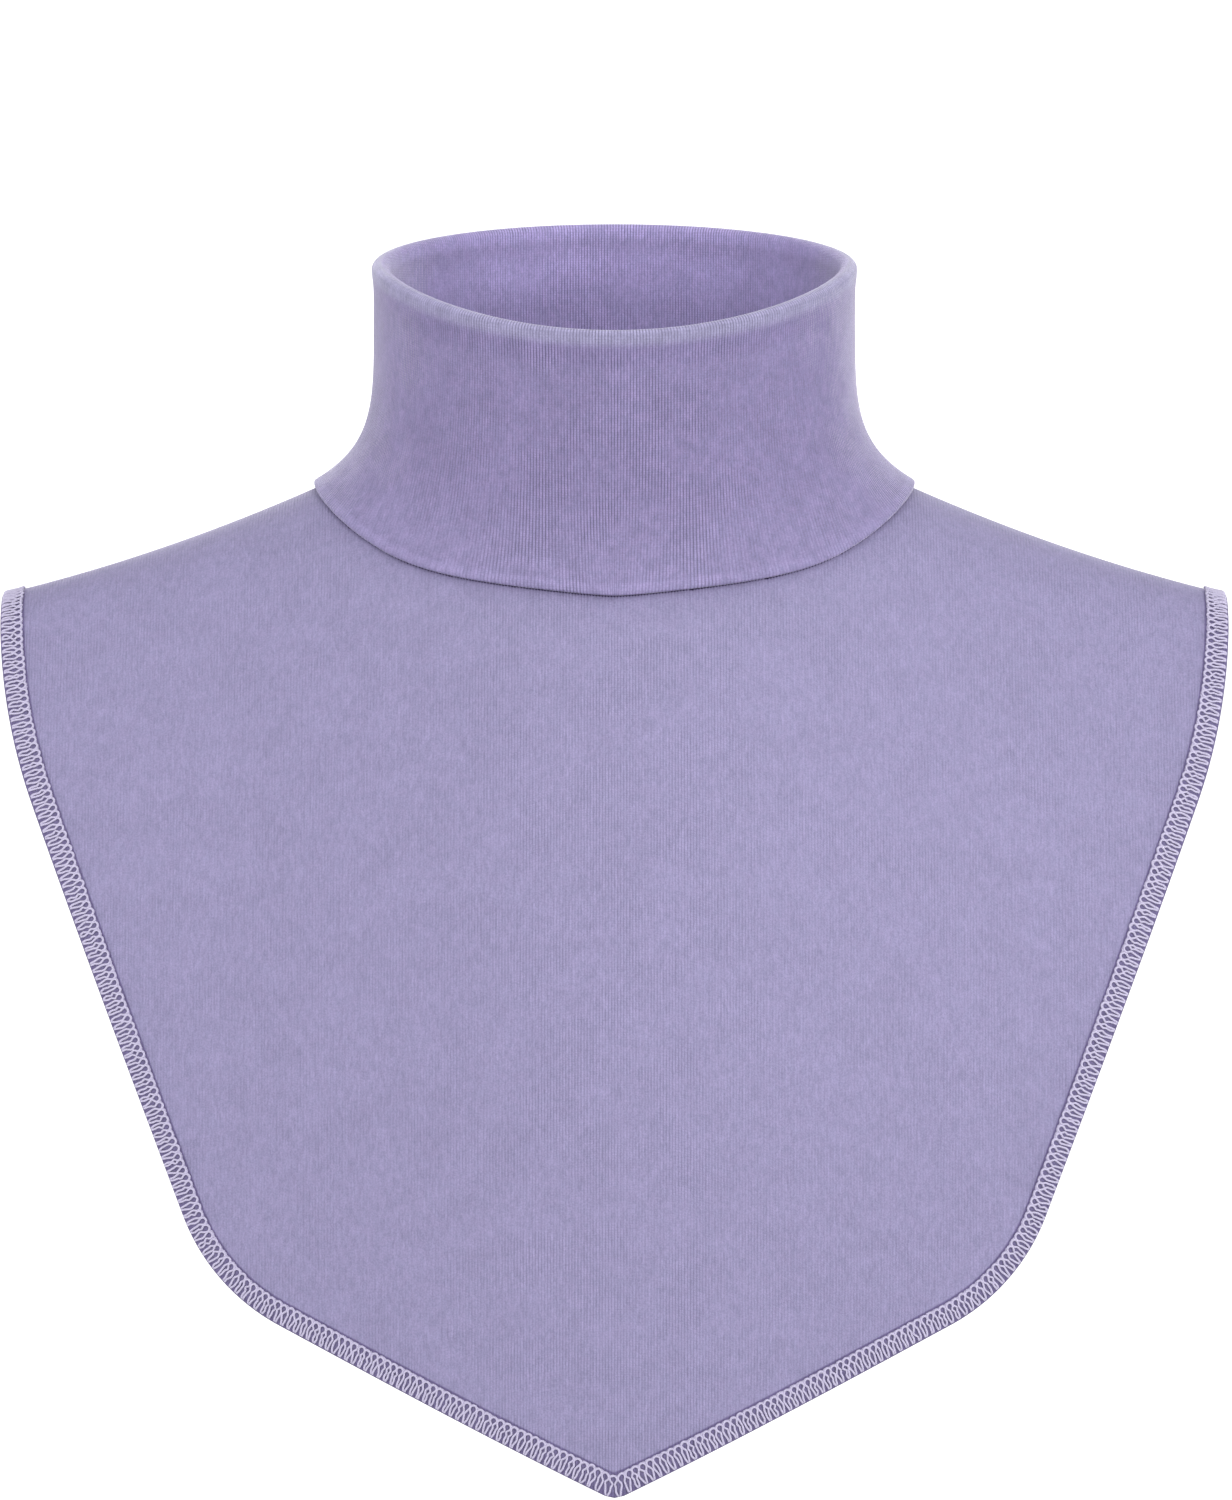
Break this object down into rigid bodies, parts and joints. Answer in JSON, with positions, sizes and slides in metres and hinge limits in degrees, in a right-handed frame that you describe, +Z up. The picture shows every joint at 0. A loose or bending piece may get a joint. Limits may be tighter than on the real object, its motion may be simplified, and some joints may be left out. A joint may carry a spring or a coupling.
{
  "type": "turtleneck dickey",
  "caption": "Knit turtleneck dickey: a folded-over collar on a pointed bib that lies over both shoulders, with an overlocked edge.",
  "frame": {"origin": "centre of the neck opening, level with the neck seam on the shoulders, where the dickey sits on the wearer's neck", "axes": "+Z up along the neck, -Y to the front, +X to the wearer's left"},
  "size_m": [0.323, 0.2067, 0.3225],
  "materials": {
    "lavender_knit": "soft matte cotton interlock knit with fine upright ribs",
    "overlock_thread": "soft matte spun thread, a little paler than the knit"
  },
  "bodies": {
    "root": {"collar": "lavender_knit", "bib": "lavender_knit", "overlock_edge": "overlock_thread"}
  },
  "joints": []
}
